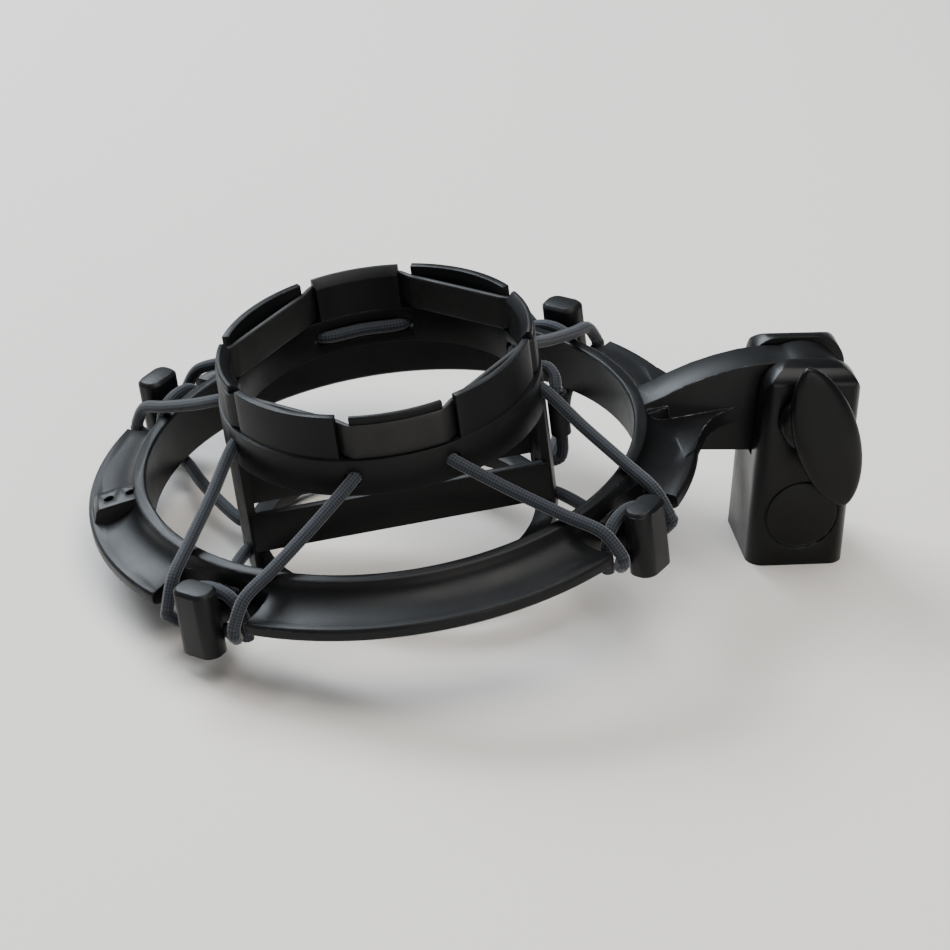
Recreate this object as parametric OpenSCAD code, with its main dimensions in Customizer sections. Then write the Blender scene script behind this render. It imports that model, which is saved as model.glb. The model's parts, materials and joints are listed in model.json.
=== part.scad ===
// Microphone shock mount: a basket on an elastic cord inside a ring,
// with an arm that tilts on a stand block and is locked by a wing lever.
// Origin: centre of the stand block's underside. +Z up the stand thread, ring towards -X.

/* [Basket] */
// Outer radius of the collar's teeth
basket_r = 32; // [30:0.5:34]
// Height of the collar below the teeth's tops
collar_h = 17; // [15:0.5:20]
// Depth of the basket below the tooth tops
basket_depth = 45; // [42:0.5:48]
// Width of a thin tooth between two grip teeth, in degrees
tooth_deg = 45.6; // [44:0.2:46]
// Width of a grip tooth, in degrees
grip_tooth_deg = 33.6; // [32:0.2:34]
// Radius of the collar's inner wall
bore_r = 29.4; // [29:0.1:30]
// Height of the rubber grip band
grip_h = 7.5; // [6:0.5:7.5]

/* [Ring] */
// Inner radius of the suspension ring
ring_r = 50; // [48:0.5:54]
// Height of the suspension ring
ring_h = 12; // [10:0.5:14]
// Radial width of the ring, wall and flange together
ring_w = 12.6; // [12:0.1:13]
// Height of the four cord pegs
peg_h = 14.2; // [12:0.1:16]
// Diameter of the elastic cord
cord_d = 2.5; // [2:0.1:2.8]

/* [Arm and stand block] */
// Thickness of the arm
arm_t = 8; // [7:0.5:9]
// Radius of the arm's knuckle
knuckle_r = 10.2; // [9.5:0.1:11]
// Width of the stand block along the arm
block_w = 20.6; // [20:0.1:24]
// Depth of the stand block across the arm
block_d = 22; // [21:0.5:26]
// Height of the stand block
block_h = 45.2; // [44:0.2:50]
// Height of the tilt axis above the block's underside
hinge_z = 34.6; // [33:0.1:36]
// Thread radius of the stand, 5/8 inch across
thread_r = 7.94; // [7.9:0.01:8]
// Tilt of the ring when the mount lies on a table, in degrees
rest_tilt = 9.9; // [0:0.1:12]
// Length of the wing lever
lever_l = 34; // [28:1:38]
// Lean of the wing lever from upright, in degrees
lever_lean = 19; // [0:1:90]

/* [Hidden] */
$fn = 96;

// Places in the ring's own frame: its axis is Z and the tooth tops are z = 0
ring_top = -24;
ring_bottom = ring_top - ring_h;
ring_wall = 2.7;
wall_out = ring_r + ring_wall;
flange_out = ring_r + ring_w;
lip_top = ring_top - 4.8;
lip_bottom = lip_top - 2.8;
peg_r = 62.4;
peg_top = -23;
peg_t = 6;
peg_w = 8.8;
neck_w = 5;
neck_top = -28;
neck_bottom = -33;
arm_reach = 85.4;
hinge_ring_z = -30.4;

collar_wall = 1.5;
ledge_z = -9.2;
band_r = basket_r + 0.8;
band_in = band_r - 2;
grip_seat_r = basket_r - 1;
hoop_h = 3;
hoop_in = 28;
leg_deg = 36;
bar_y = 9.8;
bar_t = 1.6;
bar_top = -29.6;
bar_h = 8.4;
cord_r = cord_d / 2;
cord_hole_r = cord_r + 0.4;
cord_z = -13;
foot_cord_z = -39.6;
pair_deg = 17.5;
foot_deg = 11;
cardinals = [0, 90, 180, 270];

grip_t = 1.3;
slot_half = arm_t / 2 + 0.9;
bolt_r = 2.5;
bolt_bore_r = bolt_r + 0.06;
head_r = 4.4;
insert_r = 9.1;
insert_h = 16;
lever_y = block_d / 2 + 0.3;
cut_side = 13;
cut_front = 10.5;

module ring_place()
    translate([0, 0, hinge_z]) rotate([0, -rest_tilt, 0]) translate([-arm_reach, 0, -hinge_ring_z])
        children();

module sector(r, deg, h) {
    far = r * 2;
    linear_extrude(h) intersection() {
        circle(r);
        polygon([[0, 0], [far * cos(deg / 2), -far * sin(deg / 2)], [far, 0],
                 [far * cos(deg / 2), far * sin(deg / 2)]]);
    }
}

module arc_wall(r_out, r_in, deg, z0, z1)
    translate([0, 0, z0]) difference() {
        sector(r_out, deg, z1 - z0);
        translate([0, 0, -1]) cylinder(r = r_in, h = z1 - z0 + 2);
    }

module tube(r_out, r_in, z0, z1)
    translate([0, 0, z0]) difference() {
        cylinder(r = r_out, h = z1 - z0);
        translate([0, 0, -1]) cylinder(r = r_in, h = z1 - z0 + 2);
    }

// A rounded rectangle from squares and circles, so that its corners are true arcs
module rounded_rect(w, d, r) {
    square([w - 2 * r, d], center = true);
    square([w, d - 2 * r], center = true);
    for (x = [-1, 1], y = [-1, 1])
        translate([x * (w / 2 - r), y * (d / 2 - r)]) circle(r, $fn = 32);
}

// A rectangle standing on y = 0 whose two top corners are round
module arched_rect(w, h, r) {
    translate([-w / 2, 0]) square([w, h - r]);
    translate([-w / 2 + r, 0]) square([w - 2 * r, h]);
    for (x = [-1, 1]) translate([x * (w / 2 - r), h - r]) circle(r, $fn = 48);
}

// A round tube along points, with closed ends
function unit(v) = v / norm(v);
function along(p, i) = unit(p[min(i + 1, len(p) - 1)] - p[max(i - 1, 0)]);
function side_of(t) = unit(cross(t, abs(t[2]) < 0.9 ? [0, 0, 1] : [1, 0, 0]));
function carried(v, t) = unit(v - (v * t) * t);
function sides(p, i = 0, v = undef) =
    i >= len(p) ? [] :
    let (t = along(p, i), n = is_undef(v) ? side_of(t) : carried(v, t))
    concat([n], sides(p, i + 1, n));
module cord_tube(p, r = cord_r, n = 8) {
    s = sides(p);
    points = [for (i = [0:len(p) - 1], k = [0:n - 1])
        let (t = along(p, i), u = s[i], w = cross(t, u), a = 360 * k / n)
        p[i] + r * (cos(a) * u + sin(a) * w)];
    last = (len(p) - 1) * n;
    quads = [for (i = [0:len(p) - 2], k = [0:n - 1])
        [i * n + k, i * n + (k + 1) % n, (i + 1) * n + (k + 1) % n, (i + 1) * n + k]];
    polyhedron(points, concat([[for (k = [n - 1:-1:0]) k]], quads, [[for (k = [0:n - 1]) last + k]]));
}

// A smooth run through points: each piece is a quarter-step of a Catmull-Rom curve
function smooth(p, steps = 3) = concat(
    [for (i = [0:len(p) - 2], s = [0:steps - 1])
        let (a = p[max(i - 1, 0)], b = p[i], c = p[i + 1], d = p[min(i + 2, len(p) - 1)], t = s / steps)
        0.5 * (2 * b + (c - a) * t + (2 * a - 5 * b + 4 * c - d) * t * t
            + (3 * b - a - 3 * c + d) * t * t * t)],
    [p[len(p) - 1]]);

function polar(r, deg, z) = [r * cos(deg), r * sin(deg), z];
// A point near a peg: radius, distance round the ring from the peg's middle, height
function by_peg(deg, r, t, z) = [r * cos(deg) - t * sin(deg), r * sin(deg) + t * cos(deg), z];

peg_angles = [45, 135, 225, 315];
// Upper cord: it leaves the collar, bends over the ring's top and reaches the neck's side
upper_turn_r = 61.9;
upper_turn_t = 8.4;
function upper_start(peg, s) = polar(band_r + 0.2, peg + s * (45 - pair_deg), cord_z);
function upper_end(peg, s) = by_peg(peg, upper_turn_r, s * upper_turn_t, -29.6);
function upper_over(peg, s) =
    let (a = upper_start(peg, s), b = upper_end(peg, s))
    let (q = a + (b - a) * 0.66)
    [q[0], q[1], ring_top + cord_r + 0.45];
function upper_strand(peg, s) = smooth([
    upper_start(peg, s),
    (upper_start(peg, s) * 0.5 + upper_over(peg, s) * 0.5) - [0, 0, 0.3],
    upper_over(peg, s),
    by_peg(peg, 58.4, s * (upper_turn_t + 0.6), -25.2),
    upper_end(peg, s)], 3);
function upper_turn(peg) = smooth([
    upper_end(peg, 1) - [0, 0, 0.01],
    by_peg(peg, 62.4, upper_turn_t, -31.8),
    by_peg(peg, 59.8, 6.1, -34.3),
    by_peg(peg, 57.4, 0, neck_bottom - cord_r - 0.5),
    by_peg(peg, 59.8, -6.1, -34.3),
    by_peg(peg, 62.4, -upper_turn_t, -31.8),
    upper_end(peg, -1) - [0, 0, 0.01]], 2);
function inner_run(deg) = smooth([
    polar(band_r - 1.3, deg - pair_deg, cord_z),
    polar(band_in - 0.4, deg - pair_deg + 0.6, cord_z),
    polar(band_in - cord_r - 0.35, deg - pair_deg + 5.2, cord_z),
    polar(band_in - cord_r - 0.35, deg, cord_z),
    polar(band_in - cord_r - 0.35, deg + pair_deg - 5.2, cord_z),
    polar(band_in - 0.4, deg + pair_deg - 0.6, cord_z),
    polar(band_r - 1.3, deg + pair_deg, cord_z)], 2);

// Lower cord: from a foot it passes under the ring's wall and loops over the peg's neck
lower_turn_r = 57.2;
lower_turn_t = 6.4;
function foot_side(peg) = peg < 90 || peg > 270 ? 0 : 180;
function foot_sign(peg) = (peg == 45 || peg == 225) ? 1 : -1;
function lower_start(peg) =
    polar(band_r + 0.2, foot_side(peg) + foot_sign(peg) * foot_deg, foot_cord_z);
function lower_end(peg) = by_peg(peg, lower_turn_r, -foot_sign(peg) * lower_turn_t, -34.8);
function lower_strand(peg) = smooth([
    lower_start(peg),
    lower_start(peg) * 0.55 + lower_end(peg) * 0.45 + [0, 0, -0.9],
    by_peg(peg, ring_r + 0.8, -foot_sign(peg) * (lower_turn_t + 1), ring_bottom - cord_r - 0.45),
    lower_end(peg)], 3);
function lower_turn(peg) =
    let (s = foot_sign(peg))
    smooth([
        lower_end(peg) + [0, 0, 0.01],
        by_peg(peg, lower_turn_r, -s * lower_turn_t, -31),
        by_peg(peg, lower_turn_r, -s * lower_turn_t * 0.66, neck_top + 0.6),
        by_peg(peg, lower_turn_r, 0, neck_top + cord_r + 0.5),
        by_peg(peg, lower_turn_r, s * lower_turn_t * 0.66, neck_top + 0.6),
        by_peg(peg, lower_turn_r, s * lower_turn_t, -31),
        by_peg(peg, lower_turn_r, s * (lower_turn_t + 0.4), -36)], 2);
function foot_run(deg) = smooth([
    polar(band_r - 1.3, deg - foot_deg, foot_cord_z),
    polar(band_in - 0.4, deg - foot_deg + 0.6, foot_cord_z),
    polar(band_in - cord_r - 0.35, deg - foot_deg + 5, foot_cord_z),
    polar(band_in - cord_r - 0.35, deg, foot_cord_z),
    polar(band_in - cord_r - 0.35, deg + foot_deg - 5, foot_cord_z),
    polar(band_in - 0.4, deg + foot_deg - 0.6, foot_cord_z),
    polar(band_r - 1.3, deg + foot_deg, foot_cord_z)], 2);

// The cord's two ends meet in a crimped sleeve outside the basket's arm side
sleeve_top = -20.5;
sleeve_h = 9.5;
sleeve_bottom = sleeve_top - sleeve_h;
joining_upper = [[32.4, 6.4, -16.6], [34.6, 5.6, -16.8], [35.6, 3.6, -18], [35.4, 1.6, -19.6],
                 [35.4, 1.2, -20.6]];
joining_lower = [[35.4, 1.2, -29.9], [35.4, 1.2, -32], [35.2, 1.2, -34.2], [34.4, 1.2, -35.8],
                 [32.4, 1.2, -36.2]];

module collar() {
    difference() {
        union() {
            tube(band_r, bore_r, -collar_h, ledge_z);
            for (a = cardinals) {
                rotate(a + 45) arc_wall(basket_r, basket_r - collar_wall, tooth_deg, ledge_z - 0.5, 0);
                rotate(a) grip_tooth();
            }
        }
        for (a = cardinals) {
            for (s = [-1, 1])
                rotate(a + s * pair_deg) translate([bore_r - 1, 0, cord_z]) rotate([0, 90, 0])
                    cylinder(r = cord_hole_r, h = 6, $fn = 32);
            // Groove in the inner wall that the cord lies in
            rotate(a) arc_wall(band_in + 0.1, bore_r - 1, 2 * pair_deg - 1,
                cord_z - cord_hole_r, cord_z + cord_hole_r);
        }
        // Hole that the joining run comes out of
        translate([24, 6.4, -16.6]) rotate([0, 90, 0]) cylinder(r = cord_hole_r, h = 12, $fn = 32);
    }
}

// A grip tooth: the rubber lies in its outer face, and a chamfer leads the microphone in
module grip_tooth()
    intersection() {
        translate([0, 0, ledge_z - 1]) sector(basket_r + 1, grip_tooth_deg, 20);
        rotate_extrude() polygon([
            [bore_r + 0.05, ledge_z - 0.5], [grip_seat_r, ledge_z - 0.5], [grip_seat_r, -1.6],
            [basket_r, -1.6], [basket_r, -0.3], [basket_r - 0.3, 0], [basket_r - 0.9, 0],
            [bore_r + 0.05, -1.7]]);
    }

module leg(deg)
    rotate(deg) difference() {
        arc_wall(band_r - 0.12, band_in + 0.1, leg_deg, -basket_depth + hoop_h - 0.2, -collar_h + 0.2);
        for (s = [-1, 1])
            rotate(s * foot_deg) translate([band_in - 2, 0, foot_cord_z]) rotate([0, 90, 0])
                cylinder(r = cord_hole_r, h = 6, $fn = 32);
        // Window that thins the foot between its two cord holes
        translate([band_in + 1.2, -3.4, foot_cord_z - 1.4]) cube([4, 6.8, 2.8]);
    }

module basket_cage() ring_place() color([0.05, 0.05, 0.055]) {
    difference() {
        union() {
            collar();
            for (a = [0, 180]) leg(a);
        }
        // Hole that the joining run goes back in through
        translate([24, 1.2, -36.2]) rotate([0, 90, 0]) cylinder(r = cord_hole_r, h = 12, $fn = 32);
    }
    tube(band_r - 0.6, hoop_in, -basket_depth, -basket_depth + hoop_h);
    half_bar = sqrt(band_r * band_r - pow(bar_y + bar_t / 2, 2)) - 0.5;
    for (s = [-1, 1])
        translate([-half_bar, s * bar_y - bar_t / 2, bar_top - bar_h]) cube([half_bar * 2, bar_t, bar_h]);
}

// The band lies on the grip teeth and crosses straight inside the thin teeth between them
band_seat = concat([for (d = [-grip_tooth_deg / 2:4.2:grip_tooth_deg / 2]) [grip_seat_r + 0.08, d]],
    [[basket_r - collar_wall - grip_t - 0.15, 22.4], [basket_r - collar_wall - grip_t - 0.15, 67.6]]);
module grip_outline(t) polygon([for (a = cardinals, p = band_seat)
    [(p[0] + t) * cos(a + p[1]), (p[0] + t) * sin(a + p[1])]]);
module grip_band() ring_place() color([0.07, 0.07, 0.08])
    translate([0, 0, ledge_z + 0.05]) linear_extrude(grip_h) difference() {
        grip_outline(grip_t);
        grip_outline(0);
    }

// Section of the ring: upright wall, concave channel and outer lip
channel_w = 8.4;
channel_h = ring_top - 0.3 - lip_top;
function channel() = [for (a = [180:10:270])
    [wall_out + channel_w + channel_w * cos(a), lip_top + channel_h + channel_h * sin(a)]];
module ring_section() polygon(concat(
    [[ring_r + 0.6, ring_bottom], [ring_r, ring_bottom + 0.6], [ring_r, ring_top - 0.4],
     [ring_r + 0.4, ring_top], [wall_out - 0.5, ring_top]],
    channel(),
    [[flange_out - 0.5, lip_top], [flange_out, lip_top - 0.5], [flange_out, lip_bottom + 0.6],
     [flange_out - 0.7, lip_bottom], [wall_out + 4.6, lip_bottom - 2], [wall_out + 2, ring_bottom]]));

module peg(deg) rotate(deg) {
    chamfer = 0.7;
    translate([peg_r, 0, peg_top - peg_h]) linear_extrude(peg_h - chamfer) rounded_rect(peg_t, peg_w, 2.6);
    hull() {
        translate([peg_r, 0, peg_top - chamfer]) linear_extrude(0.01) rounded_rect(peg_t, peg_w, 2.6);
        translate([peg_r, 0, peg_top - 0.01]) linear_extrude(0.01)
            rounded_rect(peg_t - 2 * chamfer, peg_w - 2 * chamfer, 1.9);
    }
    translate([wall_out - 1, -neck_w / 2, neck_bottom])
        cube([peg_r - wall_out, neck_w, neck_top - neck_bottom]);
}

module suspension_ring() ring_place() color([0.05, 0.05, 0.055]) difference() {
    union() {
        difference() {
            rotate_extrude($fn = 144) ring_section();
            for (a = peg_angles)
                rotate(a)
                    translate([wall_out + 0.4, foot_sign(a) == 1 ? -cut_side : -cut_front, ring_bottom - 1])
                    cube([20, cut_side + cut_front, ring_h + 4]);
        }
        for (a = peg_angles) peg(a);
        // Land across the channel, opposite the arm
        rotate([90, 0, 180]) translate([0, 0, -3.2]) linear_extrude(6.4) polygon([
            [wall_out - 0.5, ring_top - 0.7], [55.4, -25.1], [60.2, -25.8], [60.9, -26.5],
            [flange_out - 1.1, lip_top + 0.2], [flange_out - 1.1, lip_bottom + 1],
            [wall_out - 0.5, lip_bottom]]);
        arm();
    }
    for (x = [53.4, 57.9])
        translate([-x, 0, ring_top - 6]) cylinder(r = 1, h = 6, $fn = 32);
    translate([-ring_r - 0.8, -5.5, ring_bottom + 3]) cube([1.6, 7, 6]);
    translate([arm_reach, 0, hinge_ring_z]) rotate([90, 0, 0])
        cylinder(r = bolt_bore_r, h = 40, center = true, $fn = 48);
}

// The arm rises from the ring and ends in the knuckle
module arm() {
    rotate([90, 0, 0]) translate([0, 0, -arm_t / 2]) linear_extrude(arm_t) {
        polygon([[51.6, ring_bottom + 0.4], [62.4, -36.9], [74, -39.3], [83, hinge_ring_z - knuckle_r + 0.6],
                 [85.4, hinge_ring_z], [83.6, hinge_ring_z + knuckle_r - 0.5],
                 [79, -19.9], [74, -19.6], [69, -20], [64, -20.8], [59.5, -22], [55.6, -23.4],
                 [51.6, ring_top - 0.3]]);
        translate([arm_reach, hinge_ring_z]) circle(knuckle_r);
    }
    // Webs that spread the arm into the flange
    for (s = [-1, 1])
        translate([0, 0, lip_bottom]) linear_extrude(lip_top - lip_bottom + 0.3)
            polygon([[57, 0], [57, s * 20], [59.4, s * 18], [61.6, s * 13], [63.2, s * 9.8], [65, s * 7.4],
                     [67.2, s * 5.6], [70, s * 4.5], [72, s * 3.7], [72, 0]]);
    // Rib that rises along the arm's foot
    translate([0, 0, lip_bottom + 1]) linear_extrude(ring_top - lip_bottom - 2.4)
        polygon([[52, -6], [54.6, -5.4], [56.6, -4.6], [57.6, -3.6], [57.6, 3.6], [56.6, 4.6],
                 [54.6, 5.4], [52, 6]]);
}

module stand_block() color([0.035, 0.035, 0.04]) difference() {
    intersection() {
        linear_extrude(block_h) rounded_rect(block_w, block_d, 3.4);
        rotate([90, 0, 0]) linear_extrude(block_d + 2, center = true) arched_rect(block_w, block_h, 6.8);
        rotate([90, 0, 90]) linear_extrude(block_w + 2, center = true) arched_rect(block_d, block_h, 5.5);
    }
    // Fork slot for the knuckle
    translate([-block_w, -slot_half, hinge_z - knuckle_r - 1.4]) cube([block_w * 2, slot_half * 2, 60]);
    translate([0, 0, hinge_z]) rotate([90, 0, 0])
        cylinder(r = bolt_bore_r, h = block_d + 4, center = true, $fn = 48);
    // Seat for the bolt's head
    translate([0, block_d / 2 + 1, hinge_z]) rotate([90, 0, 0]) cylinder(r = head_r + 0.2, h = 4, $fn = 48);
    translate([0, 0, -1]) cylinder(r = insert_r, h = insert_h + 1);
    translate([0, 0, -1]) cylinder(r = insert_r - 1.6, h = insert_h + 4);
    // Narrow groove round the blank badge
    translate([0, -block_d / 2 + 0.4, 12]) rotate([90, 0, 0]) difference() {
        cylinder(r = 7.9, h = 2);
        translate([0, 0, -1]) cylinder(r = 7.4, h = 4);
    }
}

module thread_insert() color([0.62, 0.52, 0.3]) difference() {
    cylinder(r = insert_r, h = insert_h);
    translate([0, 0, -1]) cylinder(r = thread_r, h = insert_h + 2);
}

bolt_reach = lever_y + 3.8;
module pivot_bolt() color([0.5, 0.5, 0.52]) translate([0, 0, hinge_z]) rotate([-90, 0, 0]) {
    translate([0, 0, -bolt_reach]) cylinder(r = bolt_r, h = bolt_reach + block_d / 2 - 2.9, $fn = 48);
    difference() {
        translate([0, 0, block_d / 2 - 2.9]) cylinder(r = head_r, h = 2.4, $fn = 48);
        translate([0, 0, block_d / 2 - 2]) cylinder(r = 2.3, h = 4, $fn = 6);
    }
}

module friction_washers() color([0.8, 0.8, 0.76])
    for (s = [-1, 1]) translate([0, s * (arm_t / 2 + 0.45), hinge_z]) rotate([90, 0, 0]) difference() {
        cylinder(r = 9.2, h = 0.7, center = true);
        cylinder(r = bolt_bore_r, h = 3, center = true, $fn = 48);
    }

// Outline of the wing: two arcs that meet near the tips
module wing_outline(l, w) {
    r = (l * l / 4 + w * w / 4) / w;
    intersection() {
        translate([r - w / 2, 0]) circle(r);
        translate([w / 2 - r, 0]) circle(r);
        square([w, l * 0.92], center = true);
    }
}

module at_lever() translate([0, -lever_y, hinge_z]) rotate([90, 0, 0]) children();

module wing_lever() color([0.04, 0.04, 0.045]) at_lever() difference() {
    union() {
        cylinder(r = 7, h = 3.2);
        rotate(lever_lean) translate([1.2, -2.6, 0]) {
            translate([0, 0, 1.6]) linear_extrude(3.6) wing_outline(lever_l, 13.4);
            translate([0, 0, 5.1]) linear_extrude(1.1) wing_outline(lever_l - 3, 11.2);
        }
    }
    translate([0, 0, -1]) cylinder(r = 4, h = 5, $fn = 48);
}

module lever_nut() color([0.62, 0.52, 0.3]) at_lever() difference() {
    cylinder(r = 4, h = 4, $fn = 48);
    translate([0, 0, -1]) cylinder(r = bolt_bore_r, h = 6, $fn = 48);
}

module cords(paths) for (p = paths) cord_tube(p);
module black_cord() ring_place() color([0.06, 0.065, 0.08]) children();
module upper_cord_inner_runs() black_cord() cords([for (a = cardinals) inner_run(a)]);
module upper_cord_strands() black_cord() cords([for (a = peg_angles, s = [-1, 1]) upper_strand(a, s)]);
module upper_cord_peg_turns() black_cord() cords([for (a = peg_angles) upper_turn(a)]);
module lower_cord_foot_runs() black_cord() cords([for (a = [0, 180]) foot_run(a)]);
module lower_cord_strands() black_cord() cords([for (a = peg_angles) lower_strand(a)]);
module lower_cord_peg_turns() black_cord() cords([for (a = peg_angles) lower_turn(a)]);
module cord_joining_run() black_cord() cords([smooth(joining_upper), smooth(joining_lower)]);
module cord_sleeve() ring_place() color([0.1, 0.1, 0.11])
    translate([35.4, 1.2, sleeve_bottom]) difference() {
        cylinder(r = 2.1, h = sleeve_h, $fn = 32);
        translate([0, 0, -1]) cylinder(r = cord_r + 0.05, h = sleeve_h + 2, $fn = 32);
    }

basket_cage();
grip_band();
suspension_ring();
upper_cord_inner_runs();
upper_cord_strands();
upper_cord_peg_turns();
lower_cord_foot_runs();
lower_cord_strands();
lower_cord_peg_turns();
cord_sleeve();
cord_joining_run();
stand_block();
thread_insert();
pivot_bolt();
friction_washers();
wing_lever();
lever_nut();
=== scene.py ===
"""A microphone shock mount: basket, elastic cord, ring, tilting arm and stand block."""

import json
import math

import bmesh
import bpy
from mathutils import Matrix, Vector


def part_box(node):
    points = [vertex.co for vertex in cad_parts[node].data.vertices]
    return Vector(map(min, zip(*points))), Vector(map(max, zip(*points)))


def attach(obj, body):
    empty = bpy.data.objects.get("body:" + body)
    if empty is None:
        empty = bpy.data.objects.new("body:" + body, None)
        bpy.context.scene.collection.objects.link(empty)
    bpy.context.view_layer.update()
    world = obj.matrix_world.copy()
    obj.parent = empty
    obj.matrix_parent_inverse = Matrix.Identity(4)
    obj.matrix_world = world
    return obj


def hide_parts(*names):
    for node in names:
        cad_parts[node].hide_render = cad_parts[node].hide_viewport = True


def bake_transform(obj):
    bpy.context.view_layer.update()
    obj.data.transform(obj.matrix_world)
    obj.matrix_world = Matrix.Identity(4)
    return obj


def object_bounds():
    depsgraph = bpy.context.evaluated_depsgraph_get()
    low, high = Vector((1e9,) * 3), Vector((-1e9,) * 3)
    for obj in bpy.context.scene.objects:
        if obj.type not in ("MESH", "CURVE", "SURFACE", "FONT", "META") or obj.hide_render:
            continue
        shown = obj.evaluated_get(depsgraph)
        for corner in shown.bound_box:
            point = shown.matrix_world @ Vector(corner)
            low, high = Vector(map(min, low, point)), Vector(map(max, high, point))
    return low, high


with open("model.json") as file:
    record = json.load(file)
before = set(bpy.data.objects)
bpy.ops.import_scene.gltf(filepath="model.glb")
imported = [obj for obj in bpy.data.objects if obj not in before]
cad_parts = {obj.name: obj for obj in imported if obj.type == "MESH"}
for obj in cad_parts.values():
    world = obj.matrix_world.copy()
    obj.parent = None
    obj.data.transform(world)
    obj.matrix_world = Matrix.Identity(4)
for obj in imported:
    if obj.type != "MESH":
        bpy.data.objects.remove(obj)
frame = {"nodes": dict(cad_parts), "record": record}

CAD_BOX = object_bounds()
RECORD = frame["record"]
NODES = frame["nodes"]
MM = 0.001


def joint(name):
    return next(j for j in RECORD["behaviour"]["joints"] if j["name"] == name)


def mount(name):
    return next(m for m in RECORD["mounts"] if m["name"] == name)


# The ring's own frame, in millimetres: Z is the basket's axis and the outer tooth tops are z = 0
COLLAR = Vector(mount("microphone_collar")["pos_m"])
COLLAR_DEPTH = 4.0
RING_Z = Vector(joint("basket_float")["axis"]).normalized()
RING_Y = Vector((0, 1, 0))
RING_X = RING_Y.cross(RING_Z)
HINGE = Vector(joint("ring_tilt")["pos_m"])


def at(p):
    """A point of the ring's frame, in millimetres, as a point of the row frame."""
    return COLLAR + MM * (p[0] * RING_X + p[1] * RING_Y + (p[2] + COLLAR_DEPTH) * RING_Z)


# ---------------------------------------------------------------- camera and light

# Angles in degrees, distances in metres, sensor and lens in millimetres
CAM_AZIMUTH = -10.81
CAM_ELEVATION = 28.93
CAM_ROLL = -3.48
CAM_DISTANCE = 0.7495
CAM_RIGHT = -0.06514
CAM_UP = 0.01335
SENSOR_WIDTH = 36
CAM_LENS = 134.5718


def place_camera():
    """Looks from the front, a little from the left and above, through a long lens."""
    azimuth, elevation, roll = map(math.radians, (CAM_AZIMUTH, CAM_ELEVATION, CAM_ROLL))
    back = Vector((
        math.sin(azimuth) * math.cos(elevation),
        -math.cos(azimuth) * math.cos(elevation),
        math.sin(elevation),
    ))
    right = (-back).cross(Vector((0, 0, 1))).normalized()
    up = right.cross(-back)
    turned_right = math.cos(roll) * right - math.sin(roll) * up
    turned_up = math.sin(roll) * right + math.cos(roll) * up
    data = bpy.data.cameras.new("camera")
    data.sensor_width = SENSOR_WIDTH
    data.lens = CAM_LENS
    data.clip_start = 0.05
    data.clip_end = 10
    camera = bpy.data.objects.new("camera", data)
    bpy.context.scene.collection.objects.link(camera)
    place = CAM_RIGHT * turned_right + CAM_UP * turned_up + CAM_DISTANCE * back
    turn = Matrix((turned_right, turned_up, back)).transposed()
    camera.matrix_world = Matrix.Translation(place) @ turn.to_4x4()
    bpy.context.scene.camera = camera


# Each lamp: place from the object's middle, size, watts and colour
LAMPS = {
    "window": ((-0.5, 0.75, 0.75), (0.8, 0.5), 23, (0.84, 0.92, 1.0)),
    "overhead": ((0.1, -0.1, 1.0), (0.8, 0.8), 12, (1.0, 0.97, 0.93)),
    "fill": ((0.3, -1.1, 0.35), (0.8, 0.5), 5, (1.0, 0.93, 0.86)),
}
SKY_COLOUR = (0.86, 0.92, 1.0, 1)
SKY_STRENGTH = 0.24
FLOOR_HALF = 4.0
FLOOR_COLOUR = (0.72, 0.69, 0.65, 1)


def area_light(name, place, target, size, watts, colour):
    data = bpy.data.lights.new(name, "AREA")
    data.shape = "RECTANGLE"
    data.size, data.size_y = size
    data.energy = watts
    data.color = colour
    lamp = bpy.data.objects.new(name, data)
    bpy.context.scene.collection.objects.link(lamp)
    lamp.location = place
    lamp.rotation_mode = "QUATERNION"
    lamp.rotation_quaternion = (Vector(target) - Vector(place)).to_track_quat("-Z", "Y")


def light_scene():
    world = bpy.data.worlds.new("studio")
    world.use_nodes = True
    sky = world.node_tree.nodes["Background"]
    sky.inputs["Color"].default_value = SKY_COLOUR
    sky.inputs["Strength"].default_value = SKY_STRENGTH
    bpy.context.scene.world = world
    middle = (CAD_BOX[0] + CAD_BOX[1]) / 2
    for name, (offset, size, watts, colour) in LAMPS.items():
        area_light(name, middle + Vector(offset), middle, size, watts, colour)


def make_floor():
    mesh = bpy.data.meshes.new("floor")
    size = FLOOR_HALF
    corners = [(-size, -size, 0), (size, -size, 0), (size, size, 0), (-size, size, 0)]
    mesh.from_pydata(corners, [], [(0, 1, 2, 3)])
    floor = bpy.data.objects.new("floor", mesh)
    bpy.context.scene.collection.objects.link(floor)
    material = bpy.data.materials.new("floor_paint")
    material.use_nodes = True
    shader = material.node_tree.nodes["Principled BSDF"]
    shader.inputs["Base Color"].default_value = FLOOR_COLOUR
    shader.inputs["Roughness"].default_value = 0.7
    mesh.materials.append(material)


# ---------------------------------------------------------------- materials

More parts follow.
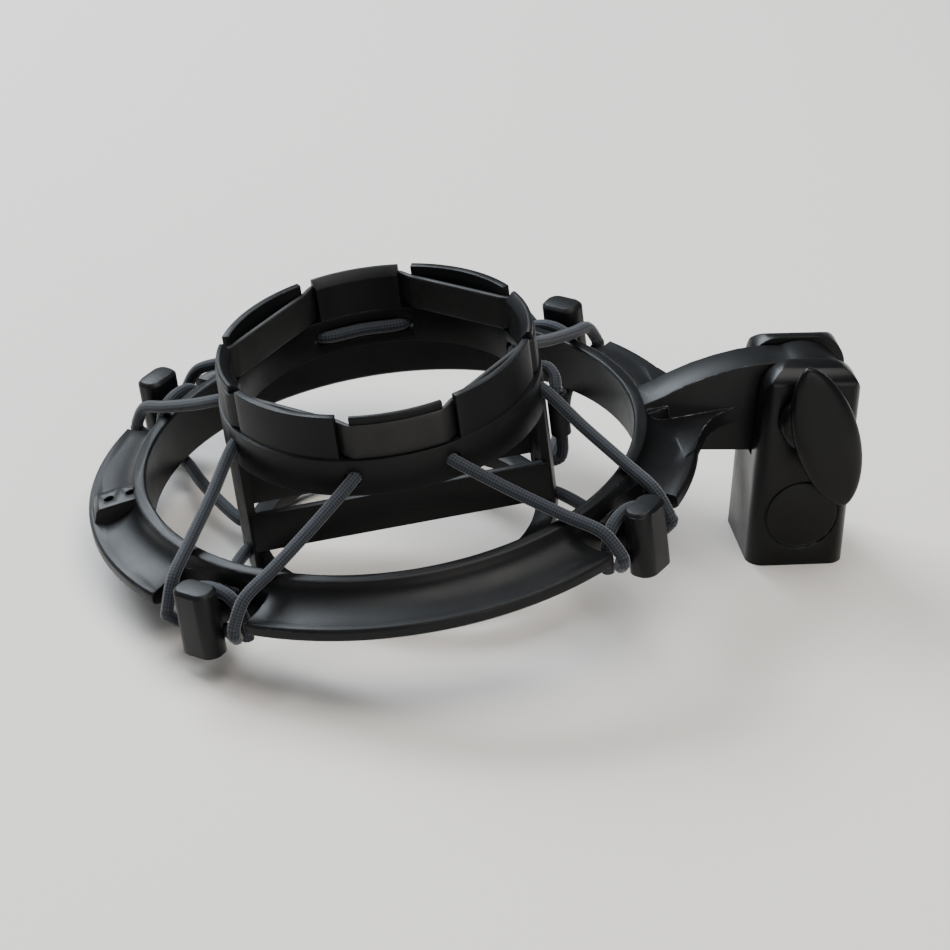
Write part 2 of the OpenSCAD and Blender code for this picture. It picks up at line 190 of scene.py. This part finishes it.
class Maker:
    """Short calls for building a node material."""

    def __init__(self, name):
        self.material = bpy.data.materials.new(name)
        self.material.use_nodes = True
        self.tree = self.material.node_tree
        self.shader = self.tree.nodes["Principled BSDF"]

    def node(self, kind, inputs=(), **settings):
        made = self.tree.nodes.new(kind)
        for key, value in settings.items():
            setattr(made, key, value)
        for key, value in dict(inputs).items():
            self.put(made.inputs[key], value)
        return made

    def put(self, socket, value):
        if isinstance(value, bpy.types.NodeSocket):
            self.tree.links.new(value, socket)
        else:
            socket.default_value = value

    def set(self, **values):
        for key, value in values.items():
            self.put(self.shader.inputs[key.replace("_", " ")], value)

    def place(self):
        return self.node("ShaderNodeTexCoord").outputs["Object"]

    def noise(self, vector, scale, detail=4.0, rough=0.55):
        made = self.node("ShaderNodeTexNoise", {"Vector": vector, "Scale": scale, "Detail": detail,
                                                "Roughness": rough})
        return made.outputs["Fac"]

    def ramp(self, value, low, high, to_low=0.0, to_high=1.0):
        made = self.node("ShaderNodeMapRange", {
            "Value": value, "From Min": low, "From Max": high, "To Min": to_low, "To Max": to_high})
        return made.outputs["Result"]

    def math(self, operation, a, b=0.0):
        made = self.node("ShaderNodeMath", operation=operation)
        self.put(made.inputs[0], a)
        self.put(made.inputs[1], b)
        return made.outputs[0]

    def mix(self, factor, a, b):
        made = self.node("ShaderNodeMix", data_type="RGBA")
        self.put(made.inputs["Factor"], factor)
        self.put(made.inputs[6], a)
        self.put(made.inputs[7], b)
        return made.outputs[2]

    def bump(self, height, distance, strength=1.0, normal=None):
        made = self.node("ShaderNodeBump", {"Height": height, "Distance": distance, "Strength": strength})
        if normal is not None:
            self.put(made.inputs["Normal"], normal)
        return made.outputs["Normal"]


def rgb(value, tint=(1.0, 1.0, 1.0)):
    return (value * tint[0], value * tint[1], value * tint[2], 1)


COOL = (0.94, 1.0, 1.12)


def moulded(name, base, rough, grain, scuffs, edge=0.00035):
    """Black moulded plastic: fine grain, patches of handling shine, pale wear along its edges."""
    m = Maker(name)
    p = m.place()
    patches = m.noise(p, 90, 5)
    fine = m.noise(p, 2600, 2)
    soft = m.node("ShaderNodeBevel", {"Radius": edge}, samples=6).outputs["Normal"]
    flat = m.node("ShaderNodeNewGeometry").outputs["Normal"]
    dot = m.node("ShaderNodeVectorMath", operation="DOT_PRODUCT")
    m.put(dot.inputs[0], soft)
    m.put(dot.inputs[1], flat)
    edges = m.ramp(dot.outputs["Value"], 0.985, 0.86)
    broken = m.ramp(m.noise(p, 420, 6, 0.7), 0.46, 0.62)
    rare = m.ramp(m.noise(p, 38, 3), 0.5, 0.66)
    wear = m.math("MULTIPLY", m.math("MULTIPLY", edges, broken), m.math("MULTIPLY", rare, scuffs))
    scratch_space = m.node("ShaderNodeMapping", {"Vector": p, "Rotation": (0.4, 0.2, 0.7),
                                                 "Scale": (1, 14, 5)}).outputs["Vector"]
    scratch = m.ramp(m.noise(scratch_space, 160, 3), 0.70, 0.76)
    colour = m.mix(m.ramp(patches, 0.35, 0.7), rgb(base, COOL), rgb(base * 1.5, COOL))
    colour = m.mix(m.math("MULTIPLY", scratch, 0.08 * scuffs), colour, rgb(0.12, COOL))
    colour = m.mix(wear, colour, rgb(0.36, COOL))
    m.set(Base_Color=colour, Specular_IOR_Level=0.17)
    m.set(Roughness=m.math("ADD", m.ramp(patches, 0.3, 0.75, rough - 0.07, rough + 0.07),
                           m.math("MULTIPLY", wear, 0.25)))
    m.set(Normal=m.bump(fine, grain, 0.7, soft))
    return m.material


# Cord mesh: corners round it, and millimetres and smoothing steps along it
CORD_SIDES = 24
CORD_STEP = 0.16
SMOOTHING = 12
# Braid: millimetres per thread repeat, repeats round the cord, and height of a thread
BRAID_PITCH = 1.2
BRAID_ROUND = 6
BRAID_HEIGHT = 0.085


def braided_elastic():
    """Braided cord: thread ribs run both ways round it; its colour carries painted shade in the valleys
    between threads and painted bluish highlights on the thread tops.
    """
    m = Maker("braided_elastic")
    uv = m.node("ShaderNodeUVMap", uv_map="cord").outputs["UV"]
    parts = m.node("ShaderNodeSeparateXYZ", {"Vector": uv})
    run, turn = parts.outputs["X"], parts.outputs["Y"]
    steps = m.math("DIVIDE", run, BRAID_PITCH)
    round_ = m.math("MULTIPLY", turn, BRAID_ROUND)
    rib_a = m.math("SINE", m.math("MULTIPLY", m.math("ADD", steps, round_), 2 * math.pi))
    rib_b = m.math("SINE", m.math("MULTIPLY", m.math("SUBTRACT", steps, round_), 2 * math.pi))
    height = m.math("MULTIPLY", rib_a, rib_b)
    fuzz = m.noise(m.place(), 3800, 3)
    # Colour mask: painted shade in the braid's valleys and painted bluish highlights on its thread tops,
    # broken up by random fuzz
    painted_braid_light_and_shade = m.ramp(m.math("ADD", height, m.math("MULTIPLY", fuzz, 0.6)), -0.5, 1.0)
    m.set(Base_Color=m.mix(painted_braid_light_and_shade, rgb(0.002, COOL), rgb(0.034, (0.78, 1.0, 1.4))))
    m.set(Roughness=m.ramp(fuzz, 0.3, 0.7, 0.62, 0.86), Specular_IOR_Level=0.35)
    m.set(Sheen_Weight=0.25, Sheen_Roughness=0.4)
    m.set(Normal=m.bump(m.math("ADD", height, fuzz), 0.00006, 0.8))
    return m.material


def rubber():
    m = Maker("grip_rubber")
    p = m.place()
    dust = m.ramp(m.noise(p, 300, 6, 0.7), 0.5, 0.8)
    m.set(Base_Color=m.mix(dust, rgb(0.0035), rgb(0.009)))
    m.set(Roughness=m.ramp(m.noise(p, 150, 4), 0.3, 0.7, 0.5, 0.68), Specular_IOR_Level=0.4)
    m.set(Normal=m.bump(m.noise(p, 1800, 3), 0.00003))
    return m.material


def metal(name, colour, rough, stretch):
    """Machined metal: turning marks along one direction and a little tarnish."""
    m = Maker(name)
    p = m.place()
    marks = m.node("ShaderNodeMapping", {"Vector": p, "Scale": stretch}).outputs["Vector"]
    lines = m.noise(marks, 900, 2)
    stain = m.noise(p, 220, 5)
    dark = tuple(c * 0.6 for c in colour)
    m.set(Base_Color=m.mix(m.ramp(stain, 0.4, 0.7), (*colour, 1), (*dark, 1)), Metallic=1.0)
    m.set(Roughness=m.ramp(lines, 0.3, 0.7, rough - 0.08, rough + 0.1))
    m.set(Normal=m.bump(lines, 0.00002))
    return m.material


def nylon():
    m = Maker("nylon")
    p = m.place()
    m.set(Base_Color=m.mix(m.noise(p, 200), (0.62, 0.61, 0.57, 1), (0.7, 0.69, 0.66, 1)))
    m.set(Roughness=0.45, Normal=m.bump(m.noise(p, 1500, 2), 0.00002))
    return m.material


RING_PLASTIC = moulded("ring_plastic", 0.0036, 0.42, 0.00004, 1.0)
CAGE_PLASTIC = moulded("cage_plastic", 0.003, 0.45, 0.00004, 0.45, 0.0002)
BLOCK_PLASTIC = moulded("block_plastic", 0.0026, 0.34, 0.00002, 0.35)
ELASTIC = braided_elastic()
RUBBER = rubber()
SLEEVE = moulded("sleeve_plastic", 0.012, 0.5, 0.00004, 0.3)
BRASS = metal("brass", (0.72, 0.55, 0.27), 0.32, (1, 1, 12))
STEEL = metal("steel", (0.32, 0.32, 0.33), 0.4, (1, 10, 1))
NYLON = nylon()

BY_SLOT = {
    "ring_plastic": RING_PLASTIC, "cage_plastic": CAGE_PLASTIC, "block_plastic": BLOCK_PLASTIC,
    "elastic": ELASTIC, "grip_rubber": RUBBER, "sleeve": SLEEVE, "brass": BRASS,
    "steel": STEEL, "nylon": NYLON,
}


# Modifier settings of the CAD nodes; angles in degrees
WELD_MM = 0.005
FLAT_DEG = 0.4
EDGE_DEG = 38
SMOOTH_DEG = 32
# Width in millimetres of the rounding of each moulded node's edges
EDGE_WIDTH = {"suspension_ring": 0.14, "basket_cage": 0.1, "stand_block": 0.1}


def soften(node, width):
    """Rounds a CAD node's hard edges a little and shades its curved faces smoothly."""
    if "custom_normal" in node.data.attributes:
        node.data.attributes.remove(node.data.attributes["custom_normal"])
    node.data.shade_smooth()
    weld = node.modifiers.new("weld", "WELD")
    weld.merge_threshold = WELD_MM * MM
    if width:
        merge = node.modifiers.new("merge_flat_faces", "DECIMATE")
        merge.decimate_type = "DISSOLVE"
        merge.angle_limit = math.radians(FLAT_DEG)
        bevel = node.modifiers.new("bevel", "BEVEL")
        bevel.width = width * MM
        bevel.segments = 2
        bevel.limit_method = "ANGLE"
        bevel.angle_limit = math.radians(EDGE_DEG)
    split = node.modifiers.new("split", "EDGE_SPLIT")
    split.split_angle = math.radians(SMOOTH_DEG)
    split.use_edge_sharp = False


def dress_nodes():
    """Gives every CAD node the material of its record slot."""
    for part in RECORD["subparts"]:
        node = NODES[part["node"]]
        node.data.materials.clear()
        node.data.materials.append(BY_SLOT[part["material_slot"]])
        soften(node, EDGE_WIDTH.get(part["node"], 0))


# ---------------------------------------------------------------- cords

CORD_R = 1.25
BAND_R = 32.8
BAND_IN = 30.8
CORD_Z = -13.0
FOOT_CORD_Z = -39.6
PAIR_DEG = 17.5
FOOT_DEG = 11.0
PEG_ANGLES = (45, 135, 225, 315)
CARDINALS = (0, 90, 180, 270)
UPPER_TURN_R = 61.9
UPPER_TURN_T = 8.4
LOWER_TURN_R = 57.2
LOWER_TURN_T = 6.4
RING_TOP = -24.0
RING_BOTTOM = -36.0
RING_INNER_R = 50.0
NECK_TOP = -28.0
NECK_BOTTOM = -33.0
# Gaps between a cord and what it passes: the ring's wall, and the peg's neck
CORD_GAP = 0.45
TURN_GAP = 0.5
UPPER_END_Z = -29.6
# How far along its way, from collar to peg, an upper strand crosses the wall
OVER_SHARE = 0.66
# How far outside the basket a strand begins
HOLE_OUT = 0.2


def polar(r, deg, z):
    a = math.radians(deg)
    return Vector((r * math.cos(a), r * math.sin(a), z))


def by_peg(deg, r, t, z):
    """A point near a peg: radius, distance round the ring from the peg's middle, height."""
    a = math.radians(deg)
    return Vector((r * math.cos(a) - t * math.sin(a), r * math.sin(a) + t * math.cos(a), z))


def catmull(points, steps):
    """A smooth run through the points."""
    out = []
    last = len(points) - 1
    for i in range(last):
        a, b, c, d = points[max(i - 1, 0)], points[i], points[i + 1], points[min(i + 2, last)]
        for s in range(steps):
            t = s / steps
            out.append(0.5 * (2 * b + (c - a) * t + (2 * a - 5 * b + 4 * c - d) * t * t
                              + (3 * b - a - 3 * c + d) * t ** 3))
    return out + [points[last]]


def even(points, step):
    """The same line with points an even step apart."""
    lengths = [0.0]
    for a, b in zip(points, points[1:]):
        lengths.append(lengths[-1] + (b - a).length)
    count = max(8, round(lengths[-1] / step))
    out = []
    k = 0
    for n in range(count + 1):
        want = lengths[-1] * n / count
        while k < len(points) - 2 and lengths[k + 1] < want:
            k += 1
        span = lengths[k + 1] - lengths[k] or 1.0
        out.append(points[k].lerp(points[k + 1], (want - lengths[k]) / span))
    return out


def cord_mesh(name, path, radius=CORD_R):
    """A braided cord along a path in the ring's frame, with a UV of length in mm and turn."""
    points = even(catmull(path, SMOOTHING), CORD_STEP)
    tangents = [(points[min(i + 1, len(points) - 1)] - points[max(i - 1, 0)]).normalized()
                for i in range(len(points))]
    side = tangents[0].orthogonal().normalized()
    verts = []
    run = 0.0
    runs = []
    for i, (p, t) in enumerate(zip(points, tangents)):
        side = (side - side.dot(t) * t).normalized()
        other = t.cross(side)
        run += (p - points[i - 1]).length if i else 0.0
        runs.append(run)
        for k in range(CORD_SIDES):
            turn = k / CORD_SIDES
            u = BRAID_ROUND * turn + run / BRAID_PITCH
            v = BRAID_ROUND * turn - run / BRAID_PITCH
            swell = BRAID_HEIGHT * math.sin(2 * math.pi * u) * math.sin(2 * math.pi * v)
            a = 2 * math.pi * turn
            verts.append(at(p + (radius + swell) * (math.cos(a) * side + math.sin(a) * other)))
    faces = []
    for i in range(len(points) - 1):
        for k in range(CORD_SIDES):
            n = (k + 1) % CORD_SIDES
            faces.append((i * CORD_SIDES + k, i * CORD_SIDES + n,
                          (i + 1) * CORD_SIDES + n, (i + 1) * CORD_SIDES + k))
    faces.append(tuple(reversed(range(CORD_SIDES))))
    last = (len(points) - 1) * CORD_SIDES
    faces.append(tuple(last + k for k in range(CORD_SIDES)))
    mesh = bpy.data.meshes.new(name)
    mesh.from_pydata(verts, [], faces)
    uv = mesh.uv_layers.new(name="cord")
    for polygon in mesh.polygons:
        wrap = any(i % CORD_SIDES == CORD_SIDES - 1 for i in polygon.vertices) and any(
            i % CORD_SIDES == 0 for i in polygon.vertices)
        for loop in polygon.loop_indices:
            vertex = mesh.loops[loop].vertex_index
            turn = (vertex % CORD_SIDES) / CORD_SIDES
            if wrap and turn == 0:
                turn = 1.0
            uv.data[loop].uv = (runs[vertex // CORD_SIDES], turn)
        polygon.use_smooth = True
    mesh.materials.append(ELASTIC)
    piece = bpy.data.objects.new(name, mesh)
    bpy.context.scene.collection.objects.link(piece)
    return piece


def upper_start(peg, s):
    return polar(BAND_R + HOLE_OUT, peg + s * (45 - PAIR_DEG), CORD_Z)


def upper_end(peg, s):
    return by_peg(peg, UPPER_TURN_R, s * UPPER_TURN_T, UPPER_END_Z)


def upper_over(peg, s):
    """Where an upper strand rides over the ring's wall."""
    q = upper_start(peg, s).lerp(upper_end(peg, s), OVER_SHARE)
    return Vector((q[0], q[1], RING_TOP + CORD_R + CORD_GAP))


def upper_strand(peg, s):
    a, over = upper_start(peg, s), upper_over(peg, s)
    inward = polar(BAND_IN - 0.6, peg + s * (45 - PAIR_DEG), CORD_Z)
    return [inward, a, (a + over) / 2 - Vector((0, 0, 0.3)), over,
            by_peg(peg, 58.4, s * (UPPER_TURN_T + 0.6), -25.2), upper_end(peg, s),
            by_peg(peg, 62.3, s * UPPER_TURN_T, -31)]


def upper_turn(peg):
    side = [(62.3, UPPER_TURN_T, -30.8), (62.4, UPPER_TURN_T, -31.8), (59.8, 6.1, -34.3)]
    back = [(r, -t, z) for r, t, z in reversed(side)]
    return [by_peg(peg, *p) for p in side + [(57.4, 0, NECK_BOTTOM - CORD_R - TURN_GAP)] + back]


def run_inside(deg, half, z):
    """The run inside the basket from one hole to the next."""
    r = BAND_IN - CORD_R - 0.35
    return [polar(BAND_R - 0.2, deg - half, z), polar(BAND_IN - 0.4, deg - half + 0.6, z),
            polar(r, deg - half + 5, z), polar(r, deg, z), polar(r, deg + half - 5, z),
            polar(BAND_IN - 0.4, deg + half - 0.6, z), polar(BAND_R - 0.2, deg + half, z)]


def foot_side(peg):
    return 0 if peg in (45, 315) else 180


def foot_sign(peg):
    return 1 if peg in (45, 225) else -1


def lower_start(peg, r=BAND_R + HOLE_OUT):
    return polar(r, foot_side(peg) + foot_sign(peg) * FOOT_DEG, FOOT_CORD_Z)


def lower_strand(peg):
    s = -foot_sign(peg)
    start, end = lower_start(peg), by_peg(peg, LOWER_TURN_R, s * LOWER_TURN_T, -34.8)
    return [lower_start(peg, BAND_IN - 0.6), start, start * 0.55 + end * 0.45 + Vector((0, 0, -0.9)),
            by_peg(peg, RING_INNER_R + 0.8, s * (LOWER_TURN_T + 1), RING_BOTTOM - CORD_R - CORD_GAP), end,
            by_peg(peg, LOWER_TURN_R, s * LOWER_TURN_T, -33.4)]


def lower_turn(peg):
    s = foot_sign(peg)
    t = LOWER_TURN_T
    across = [(-t, -33.6), (-t, -31), (-t * 0.66, NECK_TOP + 0.6), (0, NECK_TOP + CORD_R + TURN_GAP),
              (t * 0.66, NECK_TOP + 0.6), (t, -31), (t + 0.4, -36)]
    return [by_peg(peg, LOWER_TURN_R, s * t, z) for t, z in across]


JOINING_UPPER = ((32.4, 6.4, -16.6), (34.6, 5.6, -16.8), (35.6, 3.6, -18), (35.4, 1.6, -19.6),
                 (35.4, 1.2, -20.6))
JOINING_LOWER = ((35.4, 1.2, -29.9), (35.4, 1.2, -32), (35.2, 1.2, -34.2), (34.4, 1.2, -35.8),
                 (32.4, 1.2, -36.2))


def make_cords():
    for peg in PEG_ANGLES:
        for s, tag in ((-1, "a"), (1, "b")):
            piece = cord_mesh(f"upper_strand_{peg}{tag}", upper_strand(peg, s))
            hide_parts("upper_cord_strands")
            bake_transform(piece)
        piece = cord_mesh(f"lower_strand_{peg}", lower_strand(peg))
        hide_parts("lower_cord_strands")
        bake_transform(piece)
        for name, path, node in ((f"upper_turn_{peg}", upper_turn(peg), "upper_cord_peg_turns"),
                                 (f"lower_turn_{peg}", lower_turn(peg), "lower_cord_peg_turns")):
            piece = cord_mesh(name, path)
            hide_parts(node)
            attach(piece, "ring")
    inner = [(f"inner_run_{a}", run_inside(a, PAIR_DEG, CORD_Z), "upper_cord_inner_runs")
             for a in CARDINALS]
    inner += [(f"foot_run_{a}", run_inside(a, FOOT_DEG, FOOT_CORD_Z), "lower_cord_foot_runs")
              for a in (0, 180)]
    inner += [("joining_upper", [Vector(p) for p in JOINING_UPPER], "cord_joining_run"),
              ("joining_lower", [Vector(p) for p in JOINING_LOWER], "cord_joining_run")]
    for name, path, node in inner:
        piece = cord_mesh(name, path)
        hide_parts(node)
        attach(piece, "basket")


# ---------------------------------------------------------------- moulded and rubber pieces

def new_piece(name, verts, faces, material):
    mesh = bpy.data.meshes.new(name)
    mesh.from_pydata(verts, [], faces)
    mesh.materials.append(material)
    mesh.shade_smooth()
    piece = bpy.data.objects.new(name, mesh)
    bpy.context.scene.collection.objects.link(piece)
    return piece


def quads(rows, columns, closed_rows=False):
    """Faces of a grid whose columns close into rings, and whose rows may close too."""
    faces = []
    for i in range(rows if closed_rows else rows - 1):
        j = (i + 1) % rows
        for k in range(columns):
            n = (k + 1) % columns
            faces.append((i * columns + k, i * columns + n, j * columns + n, j * columns + k))
    return faces


def power(value, exponent):
    return math.copysign(abs(value) ** exponent, value)


# Wing lever, in millimetres and degrees: back and front are heights from the block's face
LEVER_LENGTH = 33.6
LEVER_WIDTH = 13.4
LEVER_LEAN = 19
LEVER_BACK = 1.4
LEVER_FRONT = 7.0
LEVER_OFFSET = (1.3, -2.9)
LEVER_STATIONS = 72
LEVER_AROUND = 64
HUB_SIDES = 96
# The hub's section as radius and height
HUB_LINE = ((4.05, 0.0), (6.7, 0.0), (7.0, 0.3), (7.0, 1.6), (6.6, 2.6), (5.6, 3.2), (4.05, 3.4))


def make_lever():
    """A wing lever: a crowned leaf on a round hub. Heights are measured away from the block."""
    face_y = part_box("lever_nut")[1].y
    lean = math.radians(LEVER_LEAN)

    def place(x, y, z):
        return Vector((HINGE.x + MM * x, face_y - MM * z, HINGE.z + MM * y))

    verts = []
    for i in range(LEVER_STATIONS + 1):
        u = math.cos(math.pi * (1 - i / LEVER_STATIONS))
        half = LEVER_WIDTH / 2 * max(1 - u * u, 0.0) ** 0.62
        roof = math.sqrt(u * u + 0.01)
        rise = (LEVER_FRONT - LEVER_BACK) / 2 * max(1 - u * u, 0.0) ** 0.3 * (1 - 0.32 * roof)
        middle = (LEVER_FRONT + LEVER_BACK) / 2 - 0.6 * roof
        for k in range(LEVER_AROUND):
            a = 2 * math.pi * k / LEVER_AROUND
            x = half * power(math.cos(a), 0.72) + LEVER_OFFSET[0]
            y = u * LEVER_LENGTH / 2 + LEVER_OFFSET[1]
            z = middle + rise * power(math.sin(a), 0.7)
            verts.append(place(x * math.cos(lean) - y * math.sin(lean),
                               x * math.sin(lean) + y * math.cos(lean), z))
    leaf = new_piece("lever_wing", verts, quads(LEVER_STATIONS + 1, LEVER_AROUND), BLOCK_PLASTIC)
    weld_shut(leaf)
    turns = [2 * math.pi * k / HUB_SIDES for k in range(HUB_SIDES)]
    verts = [place(r * math.cos(a), r * math.sin(a), z) for r, z in HUB_LINE for a in turns]
    hub_faces = quads(len(HUB_LINE), HUB_SIDES, closed_rows=True)
    hub = new_piece("lever_hub", verts, hub_faces, BLOCK_PLASTIC)
    weld_shut(hub)
    for piece in (leaf, hub):
        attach(piece, "lever")
        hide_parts("wing_lever")


def weld_shut(piece):
    """Joins points that coincide, drops flat faces and turns every face outward."""
    shape = bmesh.new()
    shape.from_mesh(piece.data)
    bmesh.ops.remove_doubles(shape, verts=shape.verts, dist=0.0005 * MM)
    bmesh.ops.recalc_face_normals(shape, faces=shape.faces)
    shape.to_mesh(piece.data)
    shape.free()
    piece.data.shade_smooth()


# Rubber band, in millimetres and degrees: it sits on the grip teeth and crosses between them
GRIP_TOOTH_DEG = 33.6
GRIP_SEAT_R = 31.08
GRIP_THICK = 1.3
GRIP_TOP = -1.65
GRIP_BOTTOM = -9.15
GRIP_INNER_R = 29.05
GRIP_SIDES = 28
CROSSING_DEG = 22.4


def make_grip_band():
    """Rubber band that lies on the grip teeth and crosses inside the thin teeth between them."""
    half = GRIP_THICK / 2
    line = []
    for cardinal in CARDINALS:
        for step in range(9):
            line.append(polar(GRIP_SEAT_R + half, cardinal + GRIP_TOOTH_DEG * (step / 8 - 0.5), 0))
        for deg in (22.6, 26, 64, 67.4):
            crossing = GRIP_INNER_R * math.cos(math.radians(CROSSING_DEG)) / math.cos(math.radians(45 - deg))
            line.append(polar(crossing + half, cardinal + deg, 0))
    loop = even(catmull(line + line[:1], 6), 0.5)[:-1]
    height = GRIP_TOP - GRIP_BOTTOM
    verts = []
    for i, p in enumerate(loop):
        t = (loop[(i + 1) % len(loop)] - loop[i - 1]).normalized()
        out = t.cross(Vector((0, 0, 1)))
        for k in range(GRIP_SIDES):
            a = 2 * math.pi * k / GRIP_SIDES
            across = half * power(math.cos(a), 0.45)
            tall = height / 2 * power(math.sin(a), 0.22)
            q = p + out * across
            verts.append(at((q[0], q[1], (GRIP_TOP + GRIP_BOTTOM) / 2 + tall)))
    band = new_piece("rubber_band", verts, quads(len(loop), GRIP_SIDES, closed_rows=True), RUBBER)
    weld_shut(band)
    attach(band, "basket")
    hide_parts("grip_band")


place_camera()
light_scene()
make_floor()
dress_nodes()
make_cords()
make_lever()
make_grip_band()
